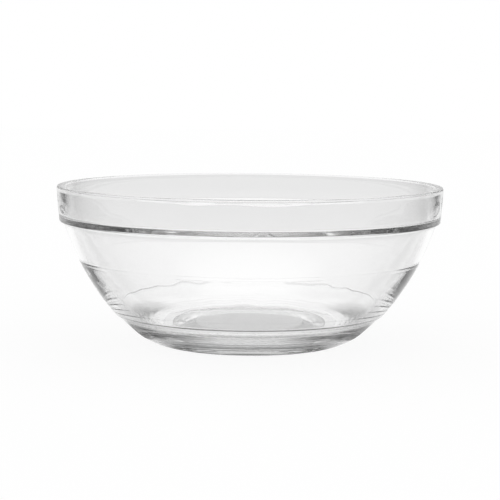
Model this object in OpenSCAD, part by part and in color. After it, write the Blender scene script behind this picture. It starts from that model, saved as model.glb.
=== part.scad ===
// Stackable glass mixing bowl, pressed in one piece.
// The bowl stands on z = 0 with its axis on Z, and all sizes are in millimetres.

/* [Rim] */
// Outside diameter across the lip
rim_d = 260; // [230:1:300]
// Overall height, from the table to the top of the lip
height = 106.9; // [101:0.1:124]
// Thickness of the fully rounded lip
lip_t = 5.5; // [4.4:0.1:6.8]

/* [Stacking band] */
// Height of the band, from its lower edge to the top of the lip
band_h = 23.2; // [18:0.1:30]
// Lean of the band's outside from the vertical, in degrees
band_draft = 4.4; // [1:0.1:7]
// Depth of the ledge under the band, measured across
ledge_w = 2.8; // [2:0.1:4.5]
// Slope of the ledge from the horizontal, in degrees
ledge_slope = 25; // [15:0.5:50]
// Round on the lower edge of the band
band_edge_r = 0.8; // [0.3:0.1:1.2]
// Fillet between the ledge and the wall
neck_r = 1; // [0.4:0.1:2]

/* [Wall] */
// Thickness of the upper wall
wall_t = 4; // [3:0.1:5.4]
// Radius of the wall's outward bulge, seen in section
bulge_r = 176.5; // [130:1:260]
// Height of the ring inside, below which the wall thickens
ring_h = 59; // [50:0.5:68]
// Angle by which the lower wall opens into a wedge, in degrees
wedge = 2.5; // [0:0.1:3.4]

/* [Heel and foot] */
// Diameter of the heel edge, where the wall breaks into the heel cone
heel_d = 186.6; // [175:0.2:197]
// Height of the heel edge above the table
heel_h = 22.9; // [19:0.1:27]
// Round on the heel edge
heel_r = 4; // [2:0.5:9]
// Slope of the heel cone from the table, in degrees
heel_slope = 42.2; // [38:0.1:46]
// Radius of the curve between the heel cone and the foot
foot_curve_r = 38.5; // [30:0.1:44]
// Slope at which that curve leaves the foot, in degrees
foot_slope = 9.1; // [5:0.1:16]
// Width of the bead that circles the heel cone
bead_w = 2.6; // [1.6:0.1:4]
// Height of the bead
bead_h = 0.2; // [0.1:0.05:0.5]
// Gap along the cone between the bead and the heel edge
bead_gap = 1.3; // [1:0.1:2.5]
// Width of the flat ring that the bowl stands on
land_w = 5.9; // [3:0.1:9]
// Depth of the hollow under the base
hollow_h = 5.6; // [2:0.1:6]
// Width of the slope from the standing ring up to the hollow
hollow_slope_w = 16; // [6:0.1:20]
// Rounds at the top and the foot of that slope
hollow_r = 2; // [1:0.5:6]

/* [Inside] */
// Angle at which the band's inside draws in on its way up to the lip, in degrees
mouth_draw = 4; // [-3:0.1:6]
// Height of the inner step's foot above the lower edge of the band
step_rise = 0.6; // [-2:0.1:3]
// Slope of the inner step from the horizontal, in degrees
step_slope = 47; // [30:0.5:58]
// Rounds above and below the inner step
step_r = 1.6; // [0.5:0.1:3]
// Height of the inside floor above the table
floor_h = 11.5; // [9:0.1:15]
// Radius of the curve between the lower wall and the floor
corner_r = 42; // [36:0.5:54]

/* [Hidden] */
$fn = 180;

// Largest distance between a curve and the steps that stand for it, and the fewest steps of a round
chord = 0.02;
round_n = 4;

function heading(a) = [cos(a), sin(a)];

function angle_of(v) = atan2(v[1], v[0]);

// Points of an arc about c from angle a to angle b
function arc(c, r, a, b) =
    let (n = max(round_n, ceil(abs(b - a) / (2 * acos(1 - chord / r)))))
    [for (i = [0:n]) c + r * heading(a + (b - a) * i / n)];

// Length that a round takes from each side of a corner between two headings
function reach(a, b, r) = r * tan(abs(b - a) / 2);

// The same length as an angle along an arc of radius big_r
function trim(a, b, r, big_r) = reach(a, b, r) / big_r * 180 / PI;

// Points of a round at corner q, where the outline turns from heading a to heading b
function turn(q, a, b, r) =
    let (side = b > a ? 1 : -1)
    let (c = q - reach(a, b, r) * heading(a) + side * r * heading(a + 90))
    arc(c, r, a - side * 90, b - side * 90);

// Centre of the circle of radius r through p and q that bulges to the right of the way from p to q
function bulge_centre(p, q, r) =
    let (way = q - p, half = norm(way) / 2)
    (p + q) / 2 + sqrt(r * r - half * half) * heading(angle_of(way) + 90);

// Point where the line through p along heading a crosses the line through q along heading b
function meet(p, a, q, b) = p + cross(q - p, heading(b)) / cross(heading(a), heading(b)) * heading(a);

// Band outside: it leans in from the lip down to its lower edge
lip_r = lip_t / 2;
lip_c = [rim_d / 2 - lip_r, height - lip_r];
band_heading = 90 - band_draft;
band_top = lip_c + lip_r * heading(-band_draft);
band_edge = band_top - (band_top[1] - height + band_h) / sin(band_heading) * heading(band_heading);

// Wall outside: one arc from the heel edge up to the neck under the ledge
neck = band_edge - ledge_w / cos(ledge_slope) * heading(ledge_slope);
heel = [heel_d / 2, heel_h];
wall_c = bulge_centre(heel, neck, bulge_r);
heel_a = angle_of(heel - wall_c);
neck_a = angle_of(neck - wall_c);
wall_low = heel_a + trim(heel_slope, heel_a + 90, heel_r, bulge_r);
wall_high = neck_a - trim(neck_a + 90, ledge_slope, neck_r, bulge_r);

// Heel cone, and the curve that takes it down to the foot
curve_rise = foot_curve_r * (cos(foot_slope) - cos(heel_slope));
cone_low = heel - (heel_h - curve_rise) / sin(heel_slope) * heading(heel_slope);
foot_c = cone_low + foot_curve_r * heading(heel_slope + 90);
foot_r = foot_c[0] + foot_curve_r * sin(foot_slope);

// Bead on the heel cone: an arc between its two edges
bead_high = heel - bead_gap * heading(heel_slope);
bead_low = bead_high - bead_w * heading(heel_slope);
bead_arc_r = (bead_w * bead_w / 4 + bead_h * bead_h) / (2 * bead_h);
bead_c = bulge_centre(bead_low, bead_high, bead_arc_r);

// Hollow under the base
land_in = [foot_r - land_w, 0];
hollow_edge = land_in + [-hollow_slope_w, hollow_h];
hollow_heading = angle_of(land_in - hollow_edge);

// Band inside: it touches the lip's round and widens on its way down to the step
rise_heading = 90 + mouth_draw;
mouth = lip_c + lip_r * heading(rise_heading + 90);

// Upper wall inside, at one thickness from the outside, and the step from it to the band
inner_r = bulge_r - wall_t;
step_a = asin((band_edge[1] + step_rise - wall_c[1]) / inner_r);
step_low = wall_c + inner_r * heading(step_a);
step_top = meet(step_low, step_slope, mouth, rise_heading);
step_heading = 180 + step_slope;

// Lower wall inside: the same arc, swung about the ring to thicken towards the heel
ring_a = asin((ring_h - wall_c[1]) / inner_r);
ring = wall_c + inner_r * heading(ring_a);
low_c = ring - inner_r * heading(ring_a - wedge);

// Corner inside: it touches the lower wall and the floor
corner_z = floor_h + corner_r;
corner_c = [low_c[0] + sqrt((inner_r - corner_r) ^ 2 - (corner_z - low_c[1]) ^ 2), corner_z];
corner_a = angle_of(corner_c - low_c);

underside = concat(
    [[0, hollow_h]],
    turn(hollow_edge, 0, hollow_heading, hollow_r),
    turn(land_in, hollow_heading, 0, hollow_r)
);

outside = concat(
    arc(foot_c, foot_curve_r, foot_slope - 90, heel_slope - 90),
    arc(bead_c, bead_arc_r, angle_of(bead_low - bead_c), angle_of(bead_high - bead_c)),
    turn(heel, heel_slope, heel_a + 90, heel_r),
    arc(wall_c, bulge_r, wall_low, wall_high),
    turn(neck, neck_a + 90, ledge_slope, neck_r),
    turn(band_edge, ledge_slope, band_heading, band_edge_r)
);

lip = arc(lip_c, lip_r, -band_draft, rise_heading + 90);

inside = concat(
    turn(step_top, rise_heading + 180, step_heading, step_r),
    turn(step_low, step_heading, step_a + 270, step_r),
    arc(wall_c, inner_r, step_a - trim(step_heading, step_a + 270, step_r, inner_r), ring_a),
    arc(low_c, inner_r, ring_a - wedge, corner_a),
    arc(corner_c, corner_r, corner_a, -90),
    [[0, floor_h]]
);

module bowl() {
    color([0.86, 0.91, 0.9, 0.45])
        rotate_extrude()
            polygon(concat(underside, outside, lip, inside));
}

bowl();
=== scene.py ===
"""Glass mixing bowl: the visible model, its glass, and the studio round it."""

import math
from types import SimpleNamespace

import bpy
from mathutils import Matrix


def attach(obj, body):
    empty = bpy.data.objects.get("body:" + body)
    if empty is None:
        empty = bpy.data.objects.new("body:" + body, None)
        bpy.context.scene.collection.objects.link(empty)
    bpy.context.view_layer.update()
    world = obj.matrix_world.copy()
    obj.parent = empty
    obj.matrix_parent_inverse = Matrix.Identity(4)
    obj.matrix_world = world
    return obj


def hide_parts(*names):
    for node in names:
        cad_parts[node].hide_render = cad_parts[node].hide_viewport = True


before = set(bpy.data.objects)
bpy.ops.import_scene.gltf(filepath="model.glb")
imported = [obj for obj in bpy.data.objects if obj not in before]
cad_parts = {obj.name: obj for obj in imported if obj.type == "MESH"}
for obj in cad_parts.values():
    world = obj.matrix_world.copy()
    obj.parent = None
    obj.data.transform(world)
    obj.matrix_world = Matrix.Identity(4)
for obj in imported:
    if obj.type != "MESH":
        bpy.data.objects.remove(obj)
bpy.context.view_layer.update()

MM = 0.001

# Sizes in millimetres and degrees, under the same names as in the part's source
SIZE = SimpleNamespace(
    rim_d=260.0, height=106.9, lip_t=5.5,
    band_h=23.2, band_draft=4.4, ledge_w=2.8, ledge_slope=25.0, band_edge_r=0.8, neck_r=1.0,
    wall_t=4.0, bulge_r=176.5, ring_h=59.0, wedge=2.5,
    heel_d=186.6, heel_h=22.9, heel_r=4.0, heel_slope=42.2, foot_curve_r=38.5, foot_slope=9.1,
    bead_w=2.6, bead_h=0.2, bead_gap=1.3, land_w=5.9, hollow_h=5.6, hollow_slope_w=16.0, hollow_r=2.0,
    mouth_draw=4.0, step_rise=0.6, step_slope=47.0, step_r=1.6, floor_h=11.5, corner_r=42.0,
)

# Mesh: segments round the bowl, steps along each stretch of the section, shortest step in millimetres
SEGMENTS = 320
STEPS = SimpleNamespace(
    hollow=5, land=4, foot=24, wall=24, band=8, lip=24, rise=10, upper=16, ring=16, lower=20,
    corner=56, floor=14, round=8,
)
SHORTEST = 0.06
ON_AXIS = 1e-6

# Length above and below the inside ring that has the finer steps, in millimetres
RING_REACH = 4.0

# Relief in millimetres. Squareness of the lip's shoulders, where 2 is a round
LIP_POWER = 7.0

# Bow of the band's faces: its height, and where it begins above the band's lower edge
BELLY = 0.2
BELLY_START = 4.0

# Crest of the bead: height, drop below the heel edge, half width
CREST = SimpleNamespace(height=0.12, below=1.75, width=0.6)

# Waves of the inside and of the band: how many round the bowl, how long down the section, phase, height.
# The band's waves fade over BAND_FADE at both its edges
WAVES = (
    (23, 31.0, 0.4, 0.020), (-31, 23.0, 1.9, 0.016), (37, 17.0, 3.1, 0.010), (-17, 41.0, 4.4, 0.020),
)
BAND_WAVES = ((13, 38.0, 0.7, 0.05), (-19, 26.0, 2.2, 0.03))
BAND_FADE = 5.0

# Waves inside: none above WAVE_TOP, only the share CALM below CALM_LOW, both over a height of WAVE_FADE,
# and fading to nothing at the axis
WAVE_TOP = 62.0
CALM_LOW = 40.0
WAVE_FADE = 12.0
CALM = 0.15
AXIS_FADE = 60.0

# Ripples round the floor: height, distance from the axis, spread, length, and how they sway round the bowl
RIPPLES = SimpleNamespace(height=0.07, middle=65.0, spread=9.0, length=4.2, sway=0.5, sways=5)

# Ring marks inside: distance below the ring and depth of each, and their half width
RING_MARKS = ((0.0, 0.03), (2.4, 0.015))
MARK_WIDTH = 0.5

# Glass: refraction, and its weak grey absorption
IOR = 1.52
TINT = (0.9, 0.9, 0.9, 1.0)
TINT_DENSITY = 3.0

# Bump: the mould's streaks per radian and per metre of height, their depth in metres, and the fine polish
# as a share of that depth
STREAK_ROUND = 16.0
STREAK_HIGH = 900.0
STREAK_DETAIL = 2.0
STREAK_DEPTH = 0.00004
POLISH = 0.1
POLISH_SCALE = 120.0
POLISH_DETAIL = 1.0
LEAST_RADIUS = 0.01

# Where the streaks are, in metres: outside a cone of this slope, and below the heel
FOOT_CONE = 1.45
FOOT_CONE_EDGE = (0.055, 0.057)
FOOT_TOP = (0.0185, 0.0215)

# Roughness: the standing ring's wear up to a height in metres, and faint smears
WORN = 0.3
WORN_TOP = (0.0002, 0.0007)
SMEAR = 0.02
SMEAR_SCALE = 22.0
SMEAR_DETAIL = 3.0
SMEAR_EDGE = (0.55, 0.8)

# What the glass sees of the studio: brightness at distances in metres on the table, where its light and
# shade are painted, and at heights in degrees above it
TABLE_BACK = ((0.06, 1.0), (0.55, 1.0), (0.9, 0.8), (3.0, 0.85))
TABLE_SIDE = ((0.06, 1.0), (0.070, 0.9), (0.074, 0.1), (0.11, 0.8), (3.0, 0.8))
TABLE_FRONT = ((0.074, 0.0), (0.095, 1.0), (0.19, 1.0), (0.26, 0.8), (3.0, 0.8))
SKY_BACK = ((0, 0.85), (17, 1.0), (23, 0.1), (30, 0.8), (40, 0.8), (50, 0.25), (60, 0.75), (70, 1.0))
SKY_SIDE = ((50, 0.0), (60, 0.3), (72, 1.0))
SKY_FRONT = ((42, 0.0), (60, 0.9), (72, 1.0))

# Degrees from straight behind the bowl over which back turns into side, and side into front
TABLE_TURNS = ((40, 75), (105, 140))
SKY_TURNS = ((14, 30), (80, 110))

# Painted shade under the bowl, its edge, and the edge of the white ring round it, in metres
UNDER_PAINTED_SHADE = 0.3
UNDER_EDGE = (0.051, 0.054)
RING_EDGE = (0.060, 0.063)

# Table: half its side and its distance below the bowl in metres, its own colour,
# and the share of plain white in what the camera sees of it, where the rest takes the shadow
TABLE_HALF = 4.0
GAP = 0.0001
PAPER = (0.95, 0.95, 0.95, 1.0)
WHITE_SHARE = 0.92

# Camera: pixels of the photo, degrees, metres
PHOTO_PX = 500
SENSOR = 36
CAMERA = SimpleNamespace(
    focal_px=1620.6, pitch=6.349, roll=0.45, axis_px=249.15, distance=1.0951, height=0.1842,
)

# Times that light may bend or bounce in the glass
BOUNCES = 32


def heading(a):
    return math.cos(math.radians(a)), math.sin(math.radians(a))


def add(p, q, s=1.0):
    return p[0] + s * q[0], p[1] + s * q[1]


def angle_of(v):
    return math.degrees(math.atan2(v[1], v[0]))


def arc(c, r, a, b, n):
    return [add(c, heading(a + (b - a) * i / n), r) for i in range(n + 1)]


def line(p, q, n):
    """Points between p and q, without the two ends."""
    return [(p[0] + (q[0] - p[0]) * i / n, p[1] + (q[1] - p[1]) * i / n) for i in range(1, n)]


def reach(a, b, r):
    """Length that a round takes from each side of a corner between two headings."""
    return r * math.tan(math.radians(abs(b - a)) / 2)


def trim(a, b, r, big_r):
    """The same length as an angle along an arc of radius big_r."""
    return math.degrees(reach(a, b, r) / big_r)


def turn(q, a, b, r):
    """Round at corner q, where the outline turns from heading a to heading b."""
    side = 1 if b > a else -1
    c = add(add(q, heading(a), -reach(a, b, r)), heading(a + 90), side * r)
    return arc(c, r, a - side * 90, b - side * 90, STEPS.round)


def bulge_centre(p, q, r):
    """Centre of the circle of radius r through p and q that bulges to the right of the way from p to q."""
    way = add(q, p, -1)
    half = math.hypot(*way) / 2
    middle = ((p[0] + q[0]) / 2, (p[1] + q[1]) / 2)
    return add(middle, heading(angle_of(way) + 90), math.sqrt(r * r - half * half))


def meet(p, a, q, b):
    """Point where the line through p along heading a crosses the line through q along heading b."""
    along, other, gap = heading(a), heading(b), add(q, p, -1)
    share = (gap[0] * other[1] - gap[1] * other[0]) / (along[0] * other[1] - along[1] * other[0])
    return add(p, along, share)


def section(k):
    """Half section as (r, z, zone) points, from the middle of the hollow to the middle of the floor."""
    lip_r = k.lip_t / 2
    lip_c = (k.rim_d / 2 - lip_r, k.height - lip_r)
    band_heading = 90 - k.band_draft
    band_top = add(lip_c, heading(-k.band_draft), lip_r)
    fall = (band_top[1] - k.height + k.band_h) / math.sin(math.radians(band_heading))
    band_edge = add(band_top, heading(band_heading), -fall)
    neck = add(band_edge, heading(k.ledge_slope), -k.ledge_w / math.cos(math.radians(k.ledge_slope)))
    heel = (k.heel_d / 2, k.heel_h)
    wall_c = bulge_centre(heel, neck, k.bulge_r)
    heel_a = angle_of(add(heel, wall_c, -1))
    neck_a = angle_of(add(neck, wall_c, -1))
    wall_low = heel_a + trim(k.heel_slope, heel_a + 90, k.heel_r, k.bulge_r)
    wall_high = neck_a - trim(neck_a + 90, k.ledge_slope, k.neck_r, k.bulge_r)

    curve_rise = k.foot_curve_r * (heading(k.foot_slope)[0] - heading(k.heel_slope)[0])
    cone_low = add(heel, heading(k.heel_slope), -(k.heel_h - curve_rise) / heading(k.heel_slope)[1])
    foot_c = add(cone_low, heading(k.heel_slope + 90), k.foot_curve_r)
    foot_r = foot_c[0] + k.foot_curve_r * heading(k.foot_slope)[1]

    bead_high = add(heel, heading(k.heel_slope), -k.bead_gap)
    bead_low = add(bead_high, heading(k.heel_slope), -k.bead_w)
    bead_r = (k.bead_w ** 2 / 4 + k.bead_h ** 2) / (2 * k.bead_h)
    bead_c = bulge_centre(bead_low, bead_high, bead_r)
    bead_from = angle_of(add(bead_low, bead_c, -1))
    bead_to = angle_of(add(bead_high, bead_c, -1))

    land_in = (foot_r - k.land_w, 0.0)
    hollow_edge = (land_in[0] - k.hollow_slope_w, k.hollow_h)
    hollow_heading = angle_of(add(land_in, hollow_edge, -1))

    rise_heading = 90 + k.mouth_draw
    mouth = add(lip_c, heading(rise_heading + 90), lip_r)
    inner_r = k.bulge_r - k.wall_t
    step_a = math.degrees(math.asin((band_edge[1] + k.step_rise - wall_c[1]) / inner_r))
    step_low = add(wall_c, heading(step_a), inner_r)
    step_top = meet(step_low, k.step_slope, mouth, rise_heading)
    step_heading = 180 + k.step_slope

    ring_a = math.degrees(math.asin((k.ring_h - wall_c[1]) / inner_r))
    ring = add(wall_c, heading(ring_a), inner_r)
    low_c = add(ring, heading(ring_a - k.wedge), -inner_r)
    corner_z = k.floor_h + k.corner_r
    corner_x = low_c[0] + math.sqrt((inner_r - k.corner_r) ** 2 - (corner_z - low_c[1]) ** 2)
    corner_c = (corner_x, corner_z)
    corner_a = angle_of(add(corner_c, low_c, -1))

    hollow_round = turn(hollow_edge, 0, hollow_heading, k.hollow_r)
    hollow = [(0.0, k.hollow_h)] + line((0.0, k.hollow_h), hollow_round[0], STEPS.hollow) + hollow_round
    land_round = turn(land_in, hollow_heading, 0, k.hollow_r)
    foot = arc(foot_c, k.foot_curve_r, k.foot_slope - 90, k.heel_slope - 90, STEPS.foot)
    land = land_round + line(land_round[-1], foot[0], STEPS.land)
    bead = arc(bead_c, bead_r, bead_from, bead_to, STEPS.round)
    wall = turn(heel, k.heel_slope, heel_a + 90, k.heel_r)
    wall += arc(wall_c, k.bulge_r, wall_low, wall_high, STEPS.wall)
    ledge = turn(neck, neck_a + 90, k.ledge_slope, k.neck_r)
    ledge += turn(band_edge, k.ledge_slope, band_heading, k.band_edge_r)
    band = line(ledge[-1], band_top, STEPS.band)
    lip = arc(lip_c, lip_r, -k.band_draft, rise_heading + 90, STEPS.lip)
    step_round = turn(step_top, rise_heading + 180, step_heading, k.step_r)
    rise_line = line(lip[-1], step_round[0], STEPS.rise)
    step = step_round + turn(step_low, step_heading, step_a + 270, k.step_r)
    upper_top = step_a - trim(step_heading, step_a + 270, k.step_r, inner_r)
    ring_span = math.degrees(RING_REACH / inner_r)
    ring_low = ring_a - k.wedge
    upper = arc(wall_c, inner_r, upper_top, ring_a + ring_span, STEPS.upper)
    upper += arc(wall_c, inner_r, ring_a + ring_span, ring_a, STEPS.ring)
    lower = arc(low_c, inner_r, ring_low, ring_low - ring_span, STEPS.ring)
    lower += arc(low_c, inner_r, ring_low - ring_span, corner_a, STEPS.lower)
    corner = arc(corner_c, k.corner_r, corner_a, -90, STEPS.corner)
    floor = line(corner[-1], (0.0, k.floor_h), STEPS.floor) + [(0.0, k.floor_h)]

    zones = [
        ("hollow", hollow), ("land", land), ("foot", foot + bead), ("wall", wall), ("ledge", ledge),
        ("band", band + lip), ("inside", rise_line + step + upper), ("low", lower + corner),
        ("floor", floor),
    ]
    points = []
    for zone, run in zones:
        for r, z in run:
            if not points or math.dist((r, z), points[-1][:2]) > SHORTEST:
                points.append((r, z, zone))
    return points


def bump_at(x, middle, width):
    return math.exp(-((x - middle) / width) ** 2)


def rising(x, length):
    """From 0 to 1 as x goes from 0 to length."""
    return min(1.0, max(0.0, x / length))


def lip_rise(k, r, z):
    """How far the pressed lip is squarer than a full round."""
    lip_r = k.lip_t / 2
    across, up = r - k.rim_d / 2 + lip_r, z - k.height + lip_r
    if up <= 0:
        return 0.0
    angle = math.atan2(up, abs(across))
    return lip_r * ((math.cos(angle) ** LIP_POWER + math.sin(angle) ** LIP_POWER) ** (-1 / LIP_POWER) - 1)


def belly(k, z):
    """Bow of the band's faces, from 0 near its lower edge and at the lip to 1 in the middle."""
    low, high = k.height - k.band_h + BELLY_START, k.height - k.lip_t / 2
    share = (2 * z - low - high) / (high - low)
    return max(0.0, 1 - share * share)


def waves(kinds, run, angle):
    return sum(h * math.sin(n * angle + 2 * math.pi * run / length + p) for n, length, p, h in kinds)


def ripple(r, run, angle):
    """Ripples of the low wall inside, strongest at one distance from the axis."""
    phase = 2 * math.pi * run / RIPPLES.length + RIPPLES.sway * math.sin(RIPPLES.sways * angle)
    return RIPPLES.height * bump_at(r, RIPPLES.middle, RIPPLES.spread) * math.sin(phase)


def relief(k, zone, r, z, run, angle):
    """How far the glass stands proud of its section, in millimetres."""
    rise = 0.0
    if zone == "band":
        low, high = z - k.height + k.band_h, k.height - k.lip_t / 2 - z
        share = min(rising(low, BAND_FADE), rising(high, BAND_FADE))
        rise += lip_rise(k, r, z) + share * waves(BAND_WAVES, run, angle) + BELLY * belly(k, z)
    if zone == "foot":
        rise += CREST.height * bump_at(z, k.heel_h - CREST.below, CREST.width)
    if zone in ("inside", "low", "floor"):
        calm = CALM + (1 - CALM) * rising(z - CALM_LOW, WAVE_FADE)
        share = rising(WAVE_TOP - z, WAVE_FADE) * calm * rising(r, AXIS_FADE)
        rise += share * waves(WAVES, run, angle)
        rise += BELLY * belly(k, z)
        rise -= sum(depth * bump_at(z, k.ring_h - below, MARK_WIDTH) for below, depth in RING_MARKS)
    if zone == "low":
        rise += ripple(r, run, angle)
    return rise


def bowl_mesh(k):
    """The section turned about Z, with the relief of the pressed glass."""
    points = section(k)
    verts, faces, rows, run = [], [], [], 0.0
    for i, (r, z, zone) in enumerate(points):
        before, after = points[max(i - 1, 0)], points[min(i + 1, len(points) - 1)]
        run += math.dist(before[:2], (r, z))
        if r < ON_AXIS:
            rows.append([len(verts)] * SEGMENTS)
            verts.append((0.0, 0.0, z * MM))
            continue
        way = (after[0] - before[0], after[1] - before[1])
        out = (way[1] / math.hypot(*way), -way[0] / math.hypot(*way))
        first = len(verts)
        for j in range(SEGMENTS):
            a = 2 * math.pi * j / SEGMENTS
            rise = relief(k, zone, r, z, run, a)
            x = (r + rise * out[0]) * MM
            verts.append((x * math.cos(a), x * math.sin(a), (z + rise * out[1]) * MM))
        rows.append(list(range(first, first + SEGMENTS)))
    for low, high in zip(rows, rows[1:]):
        for j in range(SEGMENTS):
            n = (j + 1) % SEGMENTS
            quad = [low[j], low[n], high[n], high[j]]
            faces.append(list(dict.fromkeys(quad)))
    mesh = bpy.data.meshes.new("glass_bowl")
    mesh.from_pydata(verts, [], faces)
    mesh.polygons.foreach_set("use_smooth", [True] * len(mesh.polygons))
    mesh.update()
    return mesh


def nodes_of(owner):
    """Empty node tree of a material or a world."""
    owner.use_nodes = True
    tree = owner.node_tree
    tree.nodes.clear()
    return tree


def node(tree, kind, **values):
    n = tree.nodes.new(kind)
    for key, value in values.items():
        setattr(n, key, value)
    return n


def math_node(tree, operation, *inputs):
    n = node(tree, "ShaderNodeMath", operation=operation)
    for i, value in enumerate(inputs):
        if isinstance(value, (int, float)):
            n.inputs[i].default_value = value
        else:
            tree.links.new(value, n.inputs[i])
    return n.outputs[0]


def ramp(tree, value, low, high, a=0.0, b=1.0):
    """Smooth step of value from a at low to b at high."""
    n = node(tree, "ShaderNodeMapRange", interpolation_type="SMOOTHSTEP")
    tree.links.new(value, n.inputs["Value"])
    n.inputs["From Min"].default_value = low
    n.inputs["From Max"].default_value = high
    n.inputs["To Min"].default_value = a
    n.inputs["To Max"].default_value = b
    return n.outputs["Result"]


def blend(tree, share, a, b):
    """From a to b as share goes from 0 to 1."""
    n = node(tree, "ShaderNodeMapRange")
    for name, value in (("Value", share), ("To Min", a), ("To Max", b)):
        tree.links.new(value, n.inputs[name])
    return n.outputs["Result"]


def noise(tree, place, scale, detail):
    n = node(tree, "ShaderNodeTexNoise")
    tree.links.new(place, n.inputs["Vector"])
    n.inputs["Scale"].default_value = scale
    n.inputs["Detail"].default_value = detail
    return n.outputs["Fac"]


def coordinates(tree, kind):
    """The place itself, and its X, Y and Z."""
    place = node(tree, "ShaderNodeTexCoord").outputs[kind]
    xyz = node(tree, "ShaderNodeSeparateXYZ")
    tree.links.new(place, xyz.inputs[0])
    return place, *xyz.outputs


def radius_of(tree, x, y):
    """Distance from the bowl's axis."""
    squares = [math_node(tree, "MULTIPLY", value, value) for value in (x, y)]
    return math_node(tree, "SQRT", math_node(tree, "ADD", *squares))


def azimuth_of(tree, x, y):
    """Degrees to either side from straight behind the bowl."""
    return math_node(tree, "DEGREES", math_node(tree, "ARCTAN2", math_node(tree, "ABSOLUTE", x), y))


def glass_bump(tree, place, x, y, z):
    """Normal with the mould's streaks round the foot and a faint polish all over."""
    radius = radius_of(tree, x, y)
    spread = math_node(tree, "MAXIMUM", radius, LEAST_RADIUS)
    round_place = node(tree, "ShaderNodeCombineXYZ")
    for i, value in enumerate((x, y)):
        share = math_node(tree, "DIVIDE", value, spread)
        tree.links.new(math_node(tree, "MULTIPLY", share, STREAK_ROUND), round_place.inputs[i])
    tree.links.new(math_node(tree, "MULTIPLY", z, STREAK_HIGH), round_place.inputs[2])
    streaks = noise(tree, round_place.outputs[0], 1.0, STREAK_DETAIL)
    outside = math_node(tree, "SUBTRACT", radius, math_node(tree, "MULTIPLY", z, FOOT_CONE))
    low = ramp(tree, z, *FOOT_TOP, 1.0, 0.0)
    foot = math_node(tree, "MULTIPLY", ramp(tree, outside, *FOOT_CONE_EDGE), low)
    polish = math_node(tree, "MULTIPLY", noise(tree, place, POLISH_SCALE, POLISH_DETAIL), POLISH)
    height = math_node(tree, "ADD", math_node(tree, "MULTIPLY", streaks, foot), polish)
    bump = node(tree, "ShaderNodeBump")
    bump.inputs["Distance"].default_value = STREAK_DEPTH
    tree.links.new(height, bump.inputs["Height"])
    return bump.outputs["Normal"]


def glass_material():
    """Clear glass, with streaks of the mould round the foot and a standing ring worn dull by the table."""
    material = bpy.data.materials.new("clear_pressed_glass")
    tree = nodes_of(material)
    out = node(tree, "ShaderNodeOutputMaterial")
    shader = node(tree, "ShaderNodeBsdfPrincipled")
    shader.inputs["Base Color"].default_value = (1.0, 1.0, 1.0, 1.0)
    shader.inputs["IOR"].default_value = IOR
    shader.inputs["Transmission Weight"].default_value = 1.0
    place, x, y, z = coordinates(tree, "Object")
    tree.links.new(glass_bump(tree, place, x, y, z), shader.inputs["Normal"])

    worn = ramp(tree, z, *WORN_TOP, WORN, 0.0)
    smear = ramp(tree, noise(tree, place, SMEAR_SCALE, SMEAR_DETAIL), *SMEAR_EDGE, 0.0, SMEAR)
    tree.links.new(math_node(tree, "MAXIMUM", worn, smear), shader.inputs["Roughness"])
    tree.links.new(shader.outputs[0], out.inputs["Surface"])

    depth = node(tree, "ShaderNodeVolumeAbsorption")
    depth.inputs["Color"].default_value = TINT
    depth.inputs["Density"].default_value = TINT_DENSITY
    tree.links.new(depth.outputs[0], out.inputs["Volume"])
    return material


# Studio: the camera sees plain white. The glass sees a pale table with painted shade round the foot and
# under the bowl, painted light on it behind and just in front of the bowl, a lit backdrop, a soft light
# overhead and a dark room beside them.
def stops(tree, value, pairs):
    """Brightness along value, given at a few stops and straight between them."""
    low, high = pairs[0][0], pairs[-1][0]
    share = node(tree, "ShaderNodeMapRange")
    tree.links.new(value, share.inputs["Value"])
    share.inputs["From Min"].default_value = low
    share.inputs["From Max"].default_value = high
    colours = node(tree, "ShaderNodeValToRGB")
    ends = colours.color_ramp.elements
    ends[0].color = (pairs[0][1],) * 3 + (1.0,)
    ends[1].color = (pairs[-1][1],) * 3 + (1.0,)
    for place, level in pairs[1:-1]:
        ends.new((place - low) / (high - low)).color = (level,) * 3 + (1.0,)
    tree.links.new(share.outputs["Result"], colours.inputs["Fac"])
    return colours.outputs["Color"]


def all_round(tree, azimuth, turns, back, side, front):
    """Brightness round the bowl, from the back over the side to the front."""
    level = blend(tree, ramp(tree, azimuth, *turns[0]), back, side)
    return blend(tree, ramp(tree, azimuth, *turns[1]), level, front)


def painted_table_light(tree):
    """What the glass sees of the table: its painted light and shade."""
    _, x, y, _ = coordinates(tree, "Object")
    radius = radius_of(tree, x, y)
    span = math_node(tree, "LOGARITHM", radius, 10.0)
    levels = []
    for pairs in (TABLE_BACK, TABLE_SIDE, TABLE_FRONT):
        levels.append(stops(tree, span, [(math.log10(r), level) for r, level in pairs]))
    level = all_round(tree, azimuth_of(tree, x, y), TABLE_TURNS, *levels)
    # Painted shade under the bowl, with the table's plain white left under the standing ring
    painted_under = ramp(tree, radius, *UNDER_EDGE, UNDER_PAINTED_SHADE, 1.0)
    return blend(tree, ramp(tree, radius, *RING_EDGE), painted_under, level)


def table_material():
    material = bpy.data.materials.new("white_table")
    tree = nodes_of(material)
    out = node(tree, "ShaderNodeOutputMaterial")
    path = node(tree, "ShaderNodeLightPath")
    camera = path.outputs["Is Camera Ray"]
    glass = math_node(tree, "MAXIMUM", path.outputs["Is Glossy Ray"], path.outputs["Is Transmission Ray"])
    paper = node(tree, "ShaderNodeBsdfDiffuse")
    paper.inputs["Color"].default_value = PAPER
    white = node(tree, "ShaderNodeEmission")
    # Glossy and transmission rays see the table's painted light and shade as its glow
    level = math_node(tree, "MULTIPLY", painted_table_light(tree), glass)
    tree.links.new(math_node(tree, "MAXIMUM", level, camera), white.inputs["Strength"])
    share = math_node(tree, "MAXIMUM", math_node(tree, "MULTIPLY", camera, WHITE_SHARE), glass)
    mix = node(tree, "ShaderNodeMixShader")
    for i, value in enumerate((share, paper.outputs[0], white.outputs[0])):
        tree.links.new(value, mix.inputs[i])
    tree.links.new(mix.outputs[0], out.inputs["Surface"])
    return material


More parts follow.
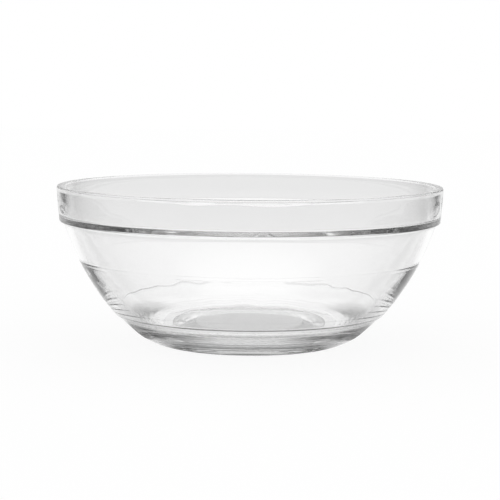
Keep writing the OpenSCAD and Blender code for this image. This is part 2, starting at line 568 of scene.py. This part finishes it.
def floor_object():
    mesh = bpy.data.meshes.new("studio_floor")
    s = TABLE_HALF
    mesh.from_pydata([(-s, -s, -GAP), (s, -s, -GAP), (s, s, -GAP), (-s, s, -GAP)], [], [(0, 1, 2, 3)])
    mesh.materials.append(table_material())
    obj = bpy.data.objects.new("studio_floor", mesh)
    bpy.context.scene.collection.objects.link(obj)


def studio_world():
    world = bpy.data.worlds.new("studio")
    bpy.context.scene.world = world
    tree = nodes_of(world)
    out = node(tree, "ShaderNodeOutputWorld")
    light = node(tree, "ShaderNodeBackground")
    light.inputs["Color"].default_value = (1.0, 1.0, 1.0, 1.0)
    _, x, y, z = coordinates(tree, "Generated")
    height = math_node(tree, "DEGREES", math_node(tree, "ARCSINE", z))
    levels = [stops(tree, height, pairs) for pairs in (SKY_BACK, SKY_SIDE, SKY_FRONT)]
    level = all_round(tree, azimuth_of(tree, x, y), SKY_TURNS, *levels)
    path = node(tree, "ShaderNodeLightPath")
    pale = math_node(tree, "MAXIMUM", path.outputs["Is Camera Ray"], path.outputs["Is Diffuse Ray"])
    tree.links.new(math_node(tree, "MAXIMUM", level, pale), light.inputs["Strength"])
    tree.links.new(light.outputs[0], out.inputs["Surface"])
    world.cycles.sampling_method = "NONE"


def camera_object(k):
    """Camera fitted to the photo, whose pixels are counted from the middle of the first."""
    data = bpy.data.cameras.new("camera")
    data.sensor_width = SENSOR
    data.lens = SENSOR * k.focal_px / PHOTO_PX
    obj = bpy.data.objects.new("camera", data)
    bpy.context.scene.collection.objects.link(obj)
    tilt = math.radians(90 - k.pitch) + 0.5 / k.focal_px
    aside = ((PHOTO_PX - 1) / 2 - k.axis_px) / k.focal_px * k.distance
    place = Matrix.Translation((aside, -k.distance, k.height))
    obj.matrix_world = place @ Matrix.Rotation(tilt, 4, "X") @ Matrix.Rotation(math.radians(k.roll), 4, "Z")
    bpy.context.scene.camera = obj


bowl = bpy.data.objects.new("glass_bowl", bowl_mesh(SIZE))
bpy.context.scene.collection.objects.link(bowl)
bowl.data.materials.append(glass_material())
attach(bowl, "root")
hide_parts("bowl")

floor_object()
studio_world()
camera_object(CAMERA)

scene = bpy.context.scene
scene.view_settings.view_transform = "Standard"
scene.cycles.max_bounces = BOUNCES
scene.cycles.transmission_bounces = BOUNCES
scene.cycles.glossy_bounces = BOUNCES
scene.cycles.transparent_max_bounces = BOUNCES
